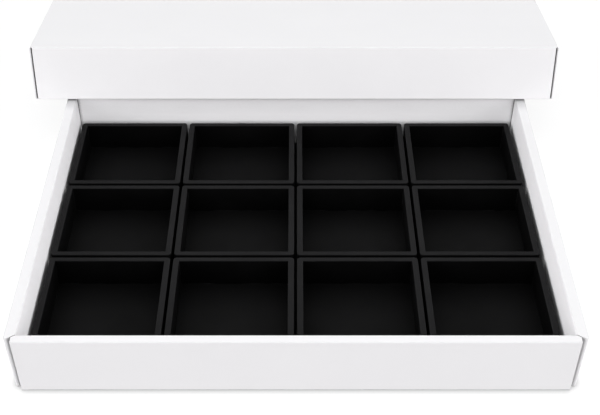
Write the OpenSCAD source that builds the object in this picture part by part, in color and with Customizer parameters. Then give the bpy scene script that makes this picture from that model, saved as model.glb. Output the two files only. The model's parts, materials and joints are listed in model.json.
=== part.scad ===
// Flat gift box: a shallow white folded-card tray, lined with a black sheet, that holds
// rows of small black folded boxes, and its lift-off lid, leaning at the back of the tray.
// Millimetres, +Z up, +Y to the back. The origin is the centre of the tray's underside.

/* [Tray] */
// Width of the tray across its rim
base_w = 400; // [320:5:480]
// Depth of the tray across its rim
base_d = 300; // [240:5:380]
// Height of the tray
base_h = 49; // [42:1:64]
// Width of the flat ledge on top of the hollow left and right walls
side_ledge_w = 8.2; // [7:0.2:11]
// Width of the flat ledge on top of the hollow front and rear walls
end_ledge_w = 7; // [7:0.2:11]
// How far the outer front and rear walls lean in between rim and floor
end_lean = 0.2; // [0:0.1:2]
// How far the outer left and right walls lean in between rim and floor
side_lean = 1.7; // [0.2:0.1:3]
// How far each inner wall leans in between rim and floor
inner_lean = 1.2; // [0:0.1:2]

/* [Tray corners] */
// How far the corner flaps sit behind the front and rear faces
flap_set = 3.6; // [3.4:0.1:3.8]
// Width of each corner flap that shows beside the front wall
flap_show = 5.4; // [5:0.1:6.4]
// Length of each corner flap
flap_l = 36; // [20:1:60]
// Outer radius of the upright fold where a flap starts
flap_fold_r = 1.8; // [1.6:0.1:2]
// Angle by which a flap turns back into the hollow front wall past that fold
flap_dip = 41; // [30:1:50]
// How much narrower the front face is at its foot, at each end
face_taper = 1.1; // [0:0.1:1.5]

/* [White card] */
// Thickness of the white card
card_t = 0.8; // [0.6:0.1:0.9]
// Radius of a fold, to the middle of the card
fold_r = 0.6; // [0.5:0.1:1.2]
// Gap left in a mitred seam
seam = 0.4; // [0.2:0.1:0.6]
// Gap under the free edge of a folded-in wall
foot_gap = 0.4; // [0.2:0.1:0.6]
// Width of each tab that locks a folded-in wall to its panel
tab_w = 28; // [16:1:40]
// Clearance all round a tab in its slot
tab_clear = 0.3; // [0.2:0.1:0.5]

/* [Black liner] */
// Thickness of the black sheet that lines the tray's floor
liner_t = 0.4; // [0.3:0.1:0.8]
// Clearance between the liner and the tray's walls
liner_clear = 0.5; // [0.2:0.1:1.5]

/* [Small boxes] */
// Number of small boxes from left to right
box_cols = 4; // [3:1:5]
// Number of rows of small boxes, row 1 at the front
box_rows = 3; // [2:1:4]
// Height of a small box
box_h = 24.9; // [18:0.1:34]
// Width of the flat rim on top of a small box's hollow left and right walls
side_rim_w = 4.6; // [4:0.1:6]
// Width of the flat rim on top of its hollow front and rear walls
end_rim_w = 4.1; // [4:0.1:6]
// Radius of the upright outer corners of a small box
box_corner_r = 2.6; // [2:0.1:2.6]
// Thickness of the black card
black_t = 0.6; // [0.5:0.05:0.7]
// Radius of a fold in the black card, to its middle
black_fold_r = 0.45; // [0.4:0.05:0.8]
// Gap between neighbouring columns of small boxes
col_gap = 2.2; // [1.4:0.1:3.6]
// Gap between neighbouring rows of small boxes
row_gap = 2.8; // [1.4:0.1:3.6]
// Room between the left column and the foot of the left wall
slack_left = 2.1; // [1.5:0.1:6]
// Room between the right column and the foot of the right wall
slack_right = 2.8; // [1.5:0.1:6]
// Room between the rear row and the foot of the rear wall
slack_rear = 4.2; // [3:0.1:8]
// Room between the front row and the foot of the front wall, for the fingers
slack_front = 17.3; // [6:0.1:24]

/* [Lid] */
// Room between the closed lid and the tray, at each side
lid_clear = 5; // [2:0.5:8]
// Width of the hollow lid walls
lid_wall_w = 20; // [16:1:30]
// Gap left under the rim of the closed lid
lid_short = 1; // [0.5:0.1:4]
// Width of the open slot beside the lid's front and rear faces
lid_slot = 1.3; // [0.8:0.1:2]
// How far behind the lid's front face its corner flaps sit
lid_flap_set = 6; // [4:0.5:10]
// Room that the leaning lid leaves for lifting the rear row of small boxes
lid_lift_gap = 0.4; // [0.2:0.1:2]
// Clearance where the leaning lid rests on the tray
lid_rest_gap = 0.3; // [0.2:0.1:0.5]
// Sideways offset of the leaning lid
lid_shift = -1.7; // [-4:0.1:4]

/* [Hidden] */
// Straight pieces that stand for the bend of a fold in white card and in black card
fold_steps = 5;
black_steps = 4;
// Pieces of a full turn where a fold runs round a corner
$fn = 48;
// Overrun of cutting shapes
over = 1;
// Tabs stand at these shares of a wall's half length
tab_place_shares = [-0.5, 0.5];
// Straight pieces that stand for the upright fold of a corner flap
flap_steps = 8;
// Clearance between a corner flap and the folded-in panel behind it
flap_gap = 0.1;
// A rounded corner or bend stays inside the flat faces that it joins by this much, and
// pieces of one folded sheet run into each other by as much
inset = 0.04;

// Outer radius of a fold in the white card
edge_r = fold_r + card_t / 2;

// Room inside the tray at floor level, and the small boxes that share it
side_in = side_ledge_w + inner_lean;
end_in = end_ledge_w + inner_lean;
room_w = base_w - 2 * side_in;
room_d = base_d - 2 * end_in;
box_w = (room_w - slack_left - slack_right - (box_cols - 1) * col_gap) / box_cols;
box_d = (room_d - slack_front - slack_rear - (box_rows - 1) * row_gap) / box_rows;
rear_row_y = room_d / 2 - slack_rear;

// Size of the lid
lid_w = base_w + 2 * (lid_clear + lid_wall_w);
lid_d = base_d + 2 * (lid_clear + lid_wall_w);
lid_h = base_h + card_t - lid_short;

// The leaning lid: its underside rests on the round rear edge of the tray, and the
// round rear edge of the lid rests on the table. It hooks over the tray by lid_catch
touch_r = edge_r + lid_rest_gap;
edge_y = base_d / 2 - edge_r;
edge_z = base_h - edge_r;
rough_tilt = asin((edge_z - edge_r) / lid_d);
lid_catch = min(lid_wall_w - edge_r,
                (edge_y + touch_r * sin(rough_tilt) - rear_row_y - lid_lift_gap) / cos(rough_tilt));
lean_run = lid_d - edge_r - lid_catch;
lean_rise = touch_r + edge_r;
lid_tilt = atan(lean_rise / lean_run) + asin((edge_z - edge_r) / norm([lean_run, lean_rise]));
lid_y = edge_y + touch_r * sin(lid_tilt) - lid_catch * cos(lid_tilt);
lid_z = edge_z + touch_r * cos(lid_tilt) + lid_catch * sin(lid_tilt);

// Directions in the plane
function unit(v) = v / norm(v);
function normal(v) = [-v[1], v[0]];
function turned(v, a) = [v[0] * cos(a) - v[1] * sin(a), v[0] * sin(a) + v[1] * cos(a)];
function turn(a, b) = atan2(a[0] * b[1] - a[1] * b[0], a * b);
function reversed(list) = [for (i = [len(list) - 1:-1:0]) list[i]];
function flipped(list) = [for (p = reversed(list)) [-p[0], p[1]]];

// One face of a folded strip of card: the path moved to its left by o, with a round
// fold of radius r at each inner point
function face_points(path, r, o, steps) = [
    for (i = [0:len(path) - 1])
        let (
            is_end = i == 0 || i == len(path) - 1,
            a = unit(path[max(i, 1)] - path[max(i, 1) - 1]),
            b = is_end ? a : unit(path[i + 1] - path[i]),
            q = turn(a, b),
            s = sign(q),
            centre = path[i] - a * r * tan(abs(q) / 2) + s * r * normal(a)
        )
        for (k = [0:is_end ? 0 : steps])
            is_end ? path[i] + o * normal(a)
                   : centre - (s * r - o) * normal(turned(a, q * k / steps))
];

// End view of a folded strip of card
module strip(path, r, t, steps) {
    polygon(concat(face_points(path, r, t / 2, steps),
                   reversed(face_points(path, r, -t / 2, steps))));
}

// Cuts a wall that runs along X to a plan outline. end_points is the right-hand end of
// the outline, from the outer face inwards
module trimmed(h, end_points) {
    intersection() {
        children();
        translate([0, 0, -over]) linear_extrude(h + 2 * over)
            polygon(concat(end_points, flipped(end_points)));
    }
}

// A wall that runs along X, with its outer face at y = 0, from its end view
module run(half) {
    translate([-half, 0, 0]) rotate([90, 0, 90]) linear_extrude(2 * half) children();
}

// Puts a wall at the front of a box of depth d, or at the left of a box of width w,
// and its twin opposite
module front_and_rear(d) {
    for (m = [0, 1]) mirror([0, m, 0]) translate([0, -d / 2, 0]) children();
}

module left_and_right(w) {
    for (m = [0, 1]) mirror([m, 0, 0]) rotate([0, 0, -90]) translate([0, -w / 2, 0]) children();
}

module four_corners(w, d) {
    for (mx = [0, 1]) for (my = [0, 1])
        mirror([mx, 0, 0]) mirror([0, my, 0]) translate([-w / 2, -d / 2, 0]) children();
}

module plate(w, d, t) {
    translate([-w / 2, -d / 2, 0]) cube([w, d, t]);
}

// The end views: x is the distance from the outer face, y is the height
function base_path(ledge, lean) = [
    [2 * ledge, card_t / 2],
    [lean + card_t / 2, card_t / 2],
    [card_t / 2, base_h - card_t / 2],
    [ledge - card_t / 2, base_h - card_t / 2],
    [ledge + inner_lean - card_t / 2, card_t + foot_gap]
];
lid_path = [
    [2 * lid_wall_w, lid_h - card_t / 2],
    [card_t / 2, lid_h - card_t / 2],
    [card_t / 2, card_t / 2],
    [lid_wall_w - card_t / 2, card_t / 2],
    [lid_wall_w - card_t / 2, lid_h - card_t - foot_gap]
];
function box_path(rim) = [
    [2 * rim, black_t / 2],
    [black_t / 2, black_t / 2],
    [black_t / 2, box_h - black_t / 2],
    [rim - black_t / 2, box_h - black_t / 2],
    [rim - black_t / 2, black_t + foot_gap]
];

// The ends of the tray's walls in plan. The front ledge stops short of the corner, the
// side ledge turns the corner with the flap, and both meet in a mitre at the inner corner
function mitre(half, next, own) = [
    [half - next - seam / 2, own],
    [half - next - 2 * own - seam / 2, 3 * own]
];

// Distance from the front face to the end of a side ledge, at x in from the side face
function side_ledge_end(x) = flap_set + (end_ledge_w + seam / 2 - flap_set)
    * (x - flap_fold_r) / (side_ledge_w - flap_fold_r);

function front_end(half) = concat(
    [[half - flap_show, -over], [half - flap_show, side_ledge_end(flap_show) - 2 * seam]],
    mitre(half, side_ledge_w, end_ledge_w)
);
function side_end(half) = concat(
    [[half - flap_set - flap_fold_r, -over]],
    [for (k = [0:fold_steps])
        [half - flap_set - flap_fold_r * (1 - sin(90 * k / fold_steps)),
         flap_fold_r * (1 - cos(90 * k / fold_steps))]],
    mitre(half, end_ledge_w, side_ledge_w)
);

module base_front_wall() {
    half = base_w / 2;
    top_half = half - flap_show;
    foot_half = top_half - face_taper;
    intersection() {
        trimmed(base_h, front_end(half)) run(half)
            strip(base_path(end_ledge_w, end_lean), fold_r, card_t, fold_steps);
        translate([0, 3 * end_ledge_w, 0]) rotate([90, 0, 0]) linear_extrude(4 * end_ledge_w)
            polygon([[-foot_half, 0], [foot_half, 0], [top_half, base_h + over],
                     [-top_half, base_h + over]]);
    }
}

// Below its ledge, the leaning outer side wall ends where the round fold of the flap starts
module base_side_wall() {
    half = base_d / 2;
    fold_start = half - flap_set - flap_fold_r;
    difference() {
        trimmed(base_h, side_end(half)) run(half)
            strip(base_path(side_ledge_w, side_lean), fold_r, card_t, fold_steps);
        for (m = [0, 1]) mirror([m, 0, 0]) translate([fold_start, -over, -over])
            cube([half, over + side_lean + 2 * card_t, over + base_h - edge_r]);
    }
}

// In plan, a flap bends round from the side wall, turns back behind the front face and then
// lies along the folded-in panel: x is the distance from the side face, y from the front face
bend_r = flap_fold_r - card_t / 2;
bend_y = flap_set + card_t / 2 + bend_r * (1 - tan(45 + flap_dip / 2));
flap_y = end_ledge_w - 1.5 * card_t - flap_gap;
flap_path = [
    [card_t / 2, flap_set + flap_fold_r + card_t],
    [card_t / 2, bend_y],
    [card_t / 2 + (flap_y - bend_y) / tan(flap_dip), flap_y],
    [flap_l, flap_y]
];

// It leans with the side wall, and is cut level at the floor and under the ledges
module corner_flap() {
    intersection() {
        translate([side_lean, 0, 0]) rotate([0, -atan(side_lean / base_h), 0])
            translate([0, 0, -flap_l]) linear_extrude(base_h + 2 * flap_l)
                strip(flap_path, bend_r, card_t - 2 * inset, flap_steps);
        translate([-flap_l, 0, card_t / 2])
            cube([3 * flap_l, 2 * end_ledge_w, base_h - fold_r - card_t / 2]);
    }
}

// Tabs at the foot of a folded-in wall, or with grow the slots that take them
module tabs(half, foot_in, low, high, grow) {
    for (share = tab_place_shares)
        translate([share * half - tab_w / 2 - grow, foot_in - card_t - grow, low])
            cube([tab_w + 2 * grow, card_t + 2 * grow, high - low]);
}

module base_tabs(low, high, grow) {
    front_and_rear(base_d) tabs(room_w / 2, end_in, low, high, grow);
    left_and_right(base_w) tabs(room_d / 2, side_in, low, high, grow);
}

// The tray's floor, notched at the corners where the flaps fold in
module base_floor() {
    plate(base_w - 2 * (side_lean + edge_r), base_d - 2 * (flap_set + flap_fold_r), card_t);
    plate(base_w - 2 * (flap_show + face_taper), base_d - 2 * (end_lean + edge_r), card_t);
}

module base_tray() color("whitesmoke") {
    difference() {
        union() {
            base_floor();
            front_and_rear(base_d) base_front_wall();
            left_and_right(base_w) base_side_wall();
            four_corners(base_w, base_d) corner_flap();
        }
        base_tabs(-over, card_t + foot_gap / 2, tab_clear);
    }
    base_tabs(0, card_t + 2 * foot_gap, 0);
}

// The ends of the lid's walls in plan: the front face stops beside an open slot
function lid_front_end(half) = [
    [half - card_t - lid_slot, -over],
    [half - card_t - lid_slot, card_t + lid_slot - seam / 2],
    [half - 2 * lid_wall_w - seam / 2, 2 * lid_wall_w]
];
function lid_side_end(half) = [
    [half - seam / 2, -over],
    [half - seam / 2, 0],
    [half - 2 * lid_wall_w - seam / 2, 2 * lid_wall_w]
];

module lid_flap() {
    translate([card_t / 2, lid_flap_set, card_t + foot_gap])
        cube([flap_l, card_t, lid_h - 2 * (card_t + foot_gap)]);
}

module upright_lid() {
    translate([0, 0, lid_h - card_t]) plate(lid_w - 2 * edge_r, lid_d - 2 * edge_r, card_t);
    front_and_rear(lid_d) trimmed(lid_h, lid_front_end(lid_w / 2)) run(lid_w / 2)
        strip(lid_path, fold_r, card_t, fold_steps);
    left_and_right(lid_w) trimmed(lid_h, lid_side_end(lid_d / 2)) run(lid_d / 2)
        strip(lid_path, fold_r, card_t, fold_steps);
    four_corners(lid_w, lid_d) lid_flap();
}

module lid() color("whitesmoke") {
    translate([lid_shift, lid_y, lid_z]) rotate([-lid_tilt, 0, 0]) translate([0, lid_d / 2, 0])
        upright_lid();
}

// A black sheet on the tray's floor, under the small boxes
module liner() color("#1c1c1e") {
    translate([0, 0, card_t])
        plate(room_w - 2 * liner_clear, room_d - 2 * liner_clear, liner_t);
}

// The end of a small box's wall in plan: it runs a little into the round corner, and then
// into the next wall along the mitre between their rims
function box_end(half, rim, next_rim) = [
    [half - box_corner_r + inset, -over],
    [half - box_corner_r + inset, box_corner_r],
    [half - next_rim + inset, rim],
    [half - next_rim - 2 * rim + inset, 3 * rim]
];

module box_wall(half, rim, next_rim) {
    trimmed(box_h, box_end(half, rim, next_rim)) run(half)
        strip(box_path(rim), black_fold_r, black_t, black_steps);
}

module box_corner() {
    translate([box_corner_r, box_corner_r, 0]) rotate([0, 0, 180]) rotate_extrude(angle = 90)
        intersection() {
            translate([box_corner_r, 0]) mirror([1, 0])
                strip(box_path(end_rim_w), black_fold_r, black_t, black_steps);
            translate([0, -over]) square([box_corner_r, box_h + 2 * over]);
        }
}

module small_box() color("#1c1c1e") {
    plate(box_w - 2 * side_rim_w, box_d - 2 * end_rim_w, black_t);
    front_and_rear(box_d) box_wall(box_w / 2, end_rim_w, side_rim_w);
    left_and_right(box_w) box_wall(box_d / 2, side_rim_w, end_rim_w);
    four_corners(box_w, box_d) box_corner();
}

module placed_box(row, col) {
    translate([-room_w / 2 + slack_left + box_w / 2 + (col - 1) * (box_w + col_gap),
               -room_d / 2 + slack_front + box_d / 2 + (row - 1) * (box_d + row_gap),
               card_t + liner_t])
        small_box();
}

base_tray();
liner();
lid();
for (r = [1:box_rows]) for (c = [1:box_cols])
    placed_box(r, c);
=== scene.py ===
"""Looks for a flat gift box: a white folded-card tray with small black boxes, and its lid."""

import json
import math

import bpy
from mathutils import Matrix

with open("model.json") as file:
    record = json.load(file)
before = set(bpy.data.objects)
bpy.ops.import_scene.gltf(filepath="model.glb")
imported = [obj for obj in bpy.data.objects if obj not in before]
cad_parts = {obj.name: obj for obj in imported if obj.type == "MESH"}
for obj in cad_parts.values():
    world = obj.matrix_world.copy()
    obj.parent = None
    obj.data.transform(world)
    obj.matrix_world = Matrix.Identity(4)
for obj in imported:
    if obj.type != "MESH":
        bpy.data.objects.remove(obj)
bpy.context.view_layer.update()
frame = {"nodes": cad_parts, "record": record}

BLACK = (0, 0, 0, 1)
WHITE = (1, 1, 1, 1)

# The camera, in metres and degrees. It is fitted to the tray's edges in the photograph.
PHOTO_WIDTH_PX = 600
LENS_PX = 1138
SENSOR_MM = 36
CAMERA_PLACE = (0.0, -0.6849, 0.6128)
LOOK_DOWN = 39.75
NEAREST_SEEN = 0.01
# The tray's middle is this far left of the picture's middle
MIDDLE_OFFSET_PX = 4

# The studio's light: soft boxes all round, strongest at the sides and weakest at the back, over a
# dark horizon and under a dark ceiling, and one lamp above the camera. The heights are given as a
# direction's rise, which is the sine of its elevation.
RING_STRENGTH = 2.33
CEILING_STRENGTH = 0.19
HORIZON_TOP = 0.02
RING_FOOT = 0.08
RING_TOP = 0.525
CEILING_FOOT = 0.665
MORE_FROM_FRONT = 0.20
MORE_FROM_SIDES = 0.64
RING_TINT = (1.0, 0.950, 0.972, 1)
CEILING_TINT = (0.985, 1.0, 1.0, 1)
KEY_WATTS = 4.0
KEY_PLACE = (0.0, -0.70, 1.30)
KEY_SIZE = (1.6, 1.0)

# The floor, just under the part
FLOOR_SIZE = 12.0
FLOOR_DROP = 0.0002
# Its paper is partly lit from behind, which shows only to the camera and in gloss
FLOOR_SEEN = 0.93
FLOOR_GLOW = 1.14
GLOW_SHARE = 0.68
FLOOR_BOUNCE = 0.24
# How far the contact shadow reaches, and the share of the floor's glow that it takes
CONTACT_REACH = 0.0060
CONTACT_SHARE = 0.92

# Both cards: how finely each pattern is worked out, and the middle part of a cloudy pattern
# that spans from all one look to all the other
CLOUD_DETAIL = 3
FIBRE_DETAIL = 4
TOOTH_DETAIL = 2
WEAR_DETAIL = 4
CLOUD_SPAN = (0.3, 0.7)
# An edge is worn where a rounded normal turns away from the true one: the cosines of that turn
# at which wear begins and is full
WEAR_TURN = (0.995, 0.90)
EDGE_SAMPLES = 6
SHADE_SAMPLES = 8

# Each card's patterns (scales are patterns per metre) and surface. A span is the part of a
# pattern over which a look comes in, and a share is how much of it comes in.
WHITE_CARD = {
    "cloud_scale": 22, "fibre_scale": 900, "fibre_roughness": 0.6, "tooth_scale": 2600,
    "wear_scale": 160, "wear_span": (0.45, 0.70), "edge_radius": 0.0016,
    "fibre_relief": 0.5, "tooth_relief": 0.5, "grain_strength": 0.25, "grain_depth": 0.00008,
    "rough": (0.50, 0.58), "gloss": 0.30,
}
BLACK_CARD = {
    "cloud_scale": 40, "fibre_scale": 1100, "fibre_roughness": 0.65, "tooth_scale": 3000,
    "wear_scale": 75, "wear_span": (0.40, 0.62), "edge_radius": 0.0009,
    "fibre_relief": 0.6, "tooth_relief": 0.4, "grain_strength": 0.3, "grain_depth": 0.0001,
    "rough": (0.50, 0.60), "gloss": 0.055,
}

# The white card's colours
COATED_WHITES = ((0.872, 0.874, 0.884, 1), (0.884, 0.886, 0.895, 1))
WHITE_FIBRE = (0.80, 0.79, 0.79, 1)
WHITE_FIBRE_SPAN = (0.35, 0.75)
WHITE_FIBRE_SHARE = 0.05
RUBBED_WHITE = (0.78, 0.77, 0.76, 1)
RUBBED_WHITE_SHARE = 0.35
RUBBED_ROUGHER = 0.15
# The slow waves of a large sheet
WARP_SCALE = 7
WARP_DETAIL = 1
WARP_STRENGTH = 0.6
WARP_DEPTH = 0.0012

# Painted shade along the folds, which dims their highlight: where the card faces up by these
# amounts it begins and ends
FOLD_SHADE_STARTS = (0.25, 0.45)
FOLD_SHADE_ENDS = (0.97, 0.88)
FOLD_SHADE_SHARE = 0.5
FOLD_SHADE_WHITE = (0.70, 0.70, 0.71, 1)

# How far the shade in the creases of the white card reaches, and the open shares of the view
# between which it fades out
CREASE_REACH = 0.006
CREASE_OPEN = (0.30, 0.75)
# How far the lid's shade on the tray reaches, how light the card stays in it, and how far in
# front of the tray's back and under its rim it begins and is full. It ends just over the rim, so
# that the lid itself has none.
LID_SHADE_REACH = 0.022
LID_SHADE_LEAST = 0.30
SHADE_BEFORE_BACK = (0.030, 0.020)
SHADE_UNDER_RIM = (0.017, 0.009)
SHADE_OVER_RIM = 0.0001
LEAST_OPEN = 0.05

# The black card's colours: painted paler where it faces up by these amounts, as if lit from above
UPRIGHT_BLACK = (0.0020, 0.0020, 0.0021, 1)
TOP_LIT_BLACK = (0.0084, 0.0084, 0.0086, 1)
TOP_LIGHT_FACES_UP = (0.3, 0.9)
# A painted sheen on the small boxes' rim tops
RIM_SHEEN_BLACK = (0.0135, 0.0135, 0.0140, 1)
CLOUDED_BLACK = (0.0045, 0.0045, 0.0047, 1)
CLOUDED_BLACK_SHARE = 0.20
BLACK_FIBRE = (0.012, 0.012, 0.012, 1)
BLACK_FIBRE_SPAN = (0.55, 0.80)
BLACK_FIBRE_SHARE = 0.20
# Rubbed edges of the black card, made paler also by a painted highlight along its folds
RUBBED_HIGHLIT_BLACK = (0.034, 0.034, 0.035, 1)
RUBBED_HIGHLIT_BLACK_SHARE = 0.7
# How far down from their rims the small boxes begin to be paled by a painted sheen, and are pale
RIM_SHEEN_DEPTH = 0.0007
RIM_SHEEN_FULL = RIM_SHEEN_DEPTH / 4
# How far the shade of the small boxes' walls reaches over their floors, and how fast it falls
BOX_SHADE_REACH = 0.032
BOX_SHADE_POWER = 1.2


def make_camera():
    data = bpy.data.cameras.new("camera")
    data.sensor_width = SENSOR_MM
    data.lens = LENS_PX * SENSOR_MM / PHOTO_WIDTH_PX
    data.shift_x = MIDDLE_OFFSET_PX / PHOTO_WIDTH_PX
    data.clip_start = NEAREST_SEEN
    camera = bpy.data.objects.new("camera", data)
    camera.location = CAMERA_PLACE
    camera.rotation_euler = (math.radians(90 - LOOK_DOWN), 0, 0)
    bpy.context.scene.collection.objects.link(camera)
    bpy.context.scene.camera = camera


class Nodes:
    """A node tree with short ways to add and join nodes."""

    def __init__(self, owner):
        owner.use_nodes = True
        self.tree = owner.node_tree
        self.tree.nodes.clear()

    def add(self, kind, settings=None, **inputs):
        node = self.tree.nodes.new(kind)
        for name, value in (settings or {}).items():
            setattr(node, name, value)
        for name, value in inputs.items():
            self.put(node.inputs[name.replace("_", " ")], value)
        return node

    def put(self, socket, value):
        if isinstance(value, bpy.types.NodeSocket):
            self.tree.links.new(value, socket)
        else:
            socket.default_value = value

    def math(self, operation, *values, clamp=False):
        node = self.add("ShaderNodeMath", {"operation": operation, "use_clamp": clamp})
        for socket, value in zip(node.inputs, values):
            self.put(socket, value)
        return node.outputs[0]

    def times(self, a, b):
        return self.math("MULTIPLY", a, b)

    def plus(self, a, b):
        return self.math("ADD", a, b)

    def axes(self, vector):
        return self.add("ShaderNodeSeparateXYZ", Vector=vector).outputs

    def noise(self, where, scale, detail, roughness=0.5):
        node = self.add("ShaderNodeTexNoise", Vector=where, Scale=scale, Detail=detail,
                        Roughness=roughness)
        return node.outputs["Fac"]

    def span(self, value, low, high, to_low=0.0, to_high=1.0):
        """value from low..high to to_low..to_high, held at the ends."""
        node = self.add("ShaderNodeMapRange")
        node.inputs["Value"].default_value = 0
        for name, given in (("Value", value), ("From Min", low), ("From Max", high),
                            ("To Min", to_low), ("To Max", to_high)):
            self.put(node.inputs[name], given)
        return node.outputs["Result"]

    def mix(self, share, a, b):
        """Colour a at share 0 and colour b at share 1."""
        node = self.add("ShaderNodeMix", {"data_type": "RGBA"})
        colours = [socket for socket in node.inputs if socket.type == "RGBA"]
        self.put(node.inputs["Factor"], share)
        self.put(colours[0], a)
        self.put(colours[1], b)
        return next(socket for socket in node.outputs if socket.type == "RGBA")

    def mix_shaders(self, share, a, b):
        """Shader a at share 0 and shader b at share 1."""
        node = self.add("ShaderNodeMixShader")
        for socket, value in zip(node.inputs, (share, a, b)):
            self.put(socket, value)
        return node.outputs[0]


def seen_share(nodes):
    """1 for rays on which the plain background shows: from the camera, or off gloss or glass."""
    rays = nodes.add("ShaderNodeLightPath").outputs
    share = nodes.math("MAXIMUM", rays["Is Camera Ray"], rays["Is Glossy Ray"])
    return nodes.math("MAXIMUM", share, rays["Is Transmission Ray"])


def make_world():
    world = bpy.data.worlds.new("studio")
    bpy.context.scene.world = world
    nodes = Nodes(world)
    x, y, rise = nodes.axes(nodes.add("ShaderNodeTexCoord").outputs["Generated"])
    front = nodes.times(y, -MORE_FROM_FRONT)
    sides = nodes.math("SUBTRACT", nodes.times(x, x), nodes.times(y, y))
    sides = nodes.times(sides, MORE_FROM_SIDES)
    around = nodes.math("MAXIMUM", nodes.plus(nodes.plus(front, sides), 1.0), 0.0)
    strength = nodes.span(rise, RING_TOP, CEILING_FOOT, RING_STRENGTH, CEILING_STRENGTH)
    strength = nodes.times(strength, nodes.span(rise, HORIZON_TOP, RING_FOOT))
    strength = nodes.times(strength, around)
    tint = nodes.mix(nodes.span(rise, 0.0, CEILING_FOOT), RING_TINT, CEILING_TINT)
    light = nodes.add("ShaderNodeBackground", Color=tint, Strength=strength).outputs[0]
    white = nodes.add("ShaderNodeBackground", Color=WHITE, Strength=1.0).outputs[0]
    nodes.add("ShaderNodeOutputWorld", Surface=nodes.mix_shaders(seen_share(nodes), light, white))


def make_key_light():
    data = bpy.data.lights.new("key", "AREA")
    data.shape = "RECTANGLE"
    data.size, data.size_y = KEY_SIZE
    data.energy = KEY_WATTS
    light = bpy.data.objects.new("key", data)
    light.location = KEY_PLACE
    light.rotation_euler = (math.atan2(-KEY_PLACE[1], KEY_PLACE[2]), 0, 0)
    bpy.context.scene.collection.objects.link(light)


def grey_paper(nodes, grey):
    return nodes.add("ShaderNodeBsdfDiffuse", Color=(grey, grey, grey, 1)).outputs[0]


def make_floor():
    """White paper that shows as plain background but keeps the part's shadow."""
    material = bpy.data.materials.new("floor_paper")
    nodes = Nodes(material)
    contact = nodes.span(open_share(nodes, CONTACT_REACH, False), 0.0, 1.0,
                         1.0 - CONTACT_SHARE, 1.0)
    glow = nodes.add("ShaderNodeEmission", Color=WHITE,
                     Strength=nodes.times(contact, FLOOR_GLOW)).outputs[0]
    seen = nodes.mix_shaders(GLOW_SHARE, grey_paper(nodes, FLOOR_SEEN), glow)
    both = nodes.mix_shaders(seen_share(nodes), grey_paper(nodes, FLOOR_BOUNCE), seen)
    nodes.add("ShaderNodeOutputMaterial", Surface=both)
    half = FLOOR_SIZE / 2
    corners = [(-half, -half), (half, -half), (half, half), (-half, half)]
    mesh = bpy.data.meshes.new("floor")
    mesh.from_pydata([(x, y, -FLOOR_DROP) for x, y in corners], [], [(0, 1, 2, 3)])
    mesh.materials.append(material)
    floor = bpy.data.objects.new("floor", mesh)
    bpy.context.scene.collection.objects.link(floor)


def edge_wear(nodes, radius):
    """0 on flat card, rising to 1 on folds and cut edges, from how far a rounded normal turns."""
    rounded = nodes.add("ShaderNodeBevel", {"samples": EDGE_SAMPLES}, Radius=radius)
    plain = nodes.add("ShaderNodeNewGeometry")
    dot = nodes.add("ShaderNodeVectorMath", {"operation": "DOT_PRODUCT"})
    nodes.put(dot.inputs[0], rounded.outputs[0])
    nodes.put(dot.inputs[1], plain.outputs["Normal"])
    return nodes.span(dot.outputs["Value"], *WEAR_TURN)


def upward(nodes):
    """How far the surface faces up: 1 for level card, 0 for upright, between them on a fold."""
    return nodes.axes(nodes.add("ShaderNodeNewGeometry").outputs["Normal"])["Z"]


def open_share(nodes, reach, own):
    """Share of the view that is open within reach: small in creases. own leaves out neighbours."""
    sky = nodes.add("ShaderNodeAmbientOcclusion",
                    {"samples": SHADE_SAMPLES, "only_local": own}, Distance=reach)
    return sky.outputs["AO"]


def lid_shade(nodes, place):
    """How much of the light the lid takes from the tray's walls beside it."""
    axes = nodes.axes(place)
    back, rim = high_corner("base_tray")[1:]
    beside = nodes.times(nodes.span(axes["Y"], *(back - before for before in SHADE_BEFORE_BACK)),
                         nodes.span(axes["Z"], *(rim - under for under in SHADE_UNDER_RIM)))
    beside = nodes.times(beside, nodes.math("LESS_THAN", axes["Z"], rim + SHADE_OVER_RIM))
    own = nodes.math("MAXIMUM", open_share(nodes, LID_SHADE_REACH, True), LEAST_OPEN)
    lid_free = nodes.math("DIVIDE", open_share(nodes, LID_SHADE_REACH, False), own)
    return nodes.times(beside, nodes.span(lid_free, 0.0, 1.0, 1.0 - LID_SHADE_LEAST, 0.0))


class Card:
    """What both cards share: a place, the four patterns there, and the surface."""

    def __init__(self, name, look):
        self.material = bpy.data.materials.new(name)
        self.look = look
        nodes = self.nodes = Nodes(self.material)
        self.place = nodes.add("ShaderNodeTexCoord").outputs["Object"]
        cloud = nodes.noise(self.place, look["cloud_scale"], CLOUD_DETAIL)
        self.fibre = nodes.noise(self.place, look["fibre_scale"], FIBRE_DETAIL,
                                 look["fibre_roughness"])
        self.tooth = nodes.noise(self.place, look["tooth_scale"], TOOTH_DETAIL)
        patches = nodes.noise(self.place, look["wear_scale"], WEAR_DETAIL)
        self.wear = nodes.times(edge_wear(nodes, look["edge_radius"]),
                                nodes.span(patches, *look["wear_span"]))
        self.clouded = nodes.span(cloud, *CLOUD_SPAN)
        self.rough = nodes.span(cloud, *CLOUD_SPAN, *look["rough"])

    def blend(self, colour, other, span, share):
        """colour with a share of other, where the fibres are in span."""
        return self.nodes.mix(self.nodes.span(self.fibre, *span, 0.0, share), colour, other)

    def finish(self, colour, **under):
        """Put colour on the surface, with its grain over what lies under it, if anything."""
        nodes, look = self.nodes, self.look
        relief = nodes.plus(nodes.times(self.fibre, look["fibre_relief"]),
                            nodes.times(self.tooth, look["tooth_relief"]))
        grain = nodes.add("ShaderNodeBump", Strength=look["grain_strength"],
                          Distance=look["grain_depth"], Height=relief, **under)
        shader = nodes.add("ShaderNodeBsdfPrincipled", Base_Color=colour, Roughness=self.rough,
                           Specular_IOR_Level=look["gloss"], Normal=grain.outputs[0])
        nodes.add("ShaderNodeOutputMaterial", Surface=shader.outputs[0])
        return self.material


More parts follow.
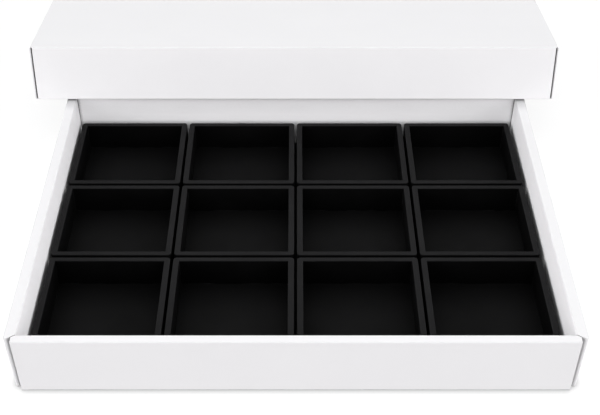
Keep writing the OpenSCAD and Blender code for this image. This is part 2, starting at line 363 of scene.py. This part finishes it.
def make_white_card():
    """Smooth matt-coated board: faint fibre cloudiness, a fine tooth, painted grey shade on folds.
    """
    card = Card("white_card", WHITE_CARD)
    nodes = card.nodes
    colour = nodes.mix(card.clouded, *COATED_WHITES)
    colour = card.blend(colour, WHITE_FIBRE, WHITE_FIBRE_SPAN, WHITE_FIBRE_SHARE)
    colour = nodes.mix(nodes.times(card.wear, RUBBED_WHITE_SHARE), colour, RUBBED_WHITE)
    up = upward(nodes)
    # Painted shade: folds, which face partly up, are mixed towards grey to dim their highlight
    fold = nodes.times(nodes.span(up, *FOLD_SHADE_STARTS), nodes.span(up, *FOLD_SHADE_ENDS))
    colour = nodes.mix(nodes.times(fold, FOLD_SHADE_SHARE), colour, FOLD_SHADE_WHITE)
    crease = nodes.span(open_share(nodes, CREASE_REACH, True), *CREASE_OPEN)
    light = nodes.math("SUBTRACT", crease, lid_shade(nodes, card.place), clamp=True)
    colour = nodes.mix(light, BLACK, colour)
    card.rough = nodes.plus(card.rough, nodes.times(card.wear, RUBBED_ROUGHER))
    warp = nodes.noise(card.place, WARP_SCALE, WARP_DETAIL)
    sheet = nodes.add("ShaderNodeBump", Strength=WARP_STRENGTH, Distance=WARP_DEPTH, Height=warp)
    return card.finish(colour, Normal=sheet.outputs[0])


def make_black_card():
    """Dyed-through matt black board with a low sheen: painted paler where it faces up as if lit
    from above, with a painted sheen on its rims and rubbed edges that carry a painted highlight.
    """
    card = Card("black_card", BLACK_CARD)
    nodes = card.nodes
    # Painted top light: faces turned up are made paler than upright ones
    colour = nodes.mix(nodes.span(upward(nodes), *TOP_LIGHT_FACES_UP), UPRIGHT_BLACK, TOP_LIT_BLACK)
    light = nodes.math("POWER", open_share(nodes, BOX_SHADE_REACH, True), BOX_SHADE_POWER)
    colour = nodes.mix(light, BLACK, colour)
    # Painted sheen: the rim tops of the small boxes are made paler
    rim = high_corner("box_r1_c1")[2]
    rim_sheen = nodes.span(nodes.axes(card.place)["Z"], rim - RIM_SHEEN_DEPTH, rim - RIM_SHEEN_FULL)
    colour = nodes.mix(rim_sheen, colour, RIM_SHEEN_BLACK)
    colour = nodes.mix(nodes.times(card.clouded, CLOUDED_BLACK_SHARE), colour, CLOUDED_BLACK)
    colour = card.blend(colour, BLACK_FIBRE, BLACK_FIBRE_SPAN, BLACK_FIBRE_SHARE)
    # Worn edges together with a painted highlight along the folds and rims
    colour = nodes.mix(nodes.times(card.wear, RUBBED_HIGHLIT_BLACK_SHARE), colour, RUBBED_HIGHLIT_BLACK)
    return card.finish(colour)


def high_corner(name):
    """The highest x, y and z of a node of the frame."""
    return [max(values) for values in zip(*frame["nodes"][name].bound_box)]


def dress_frame():
    cards = {"white_card": make_white_card(), "black_card": make_black_card()}
    slots = {part["node"]: part["material_slot"] for part in frame["record"]["subparts"]}
    for name, node in frame["nodes"].items():
        node.data.materials.clear()
        node.data.materials.append(cards[slots[name]])


bpy.context.scene.view_settings.view_transform = "Standard"
make_camera()
make_world()
make_key_light()
make_floor()
dress_frame()
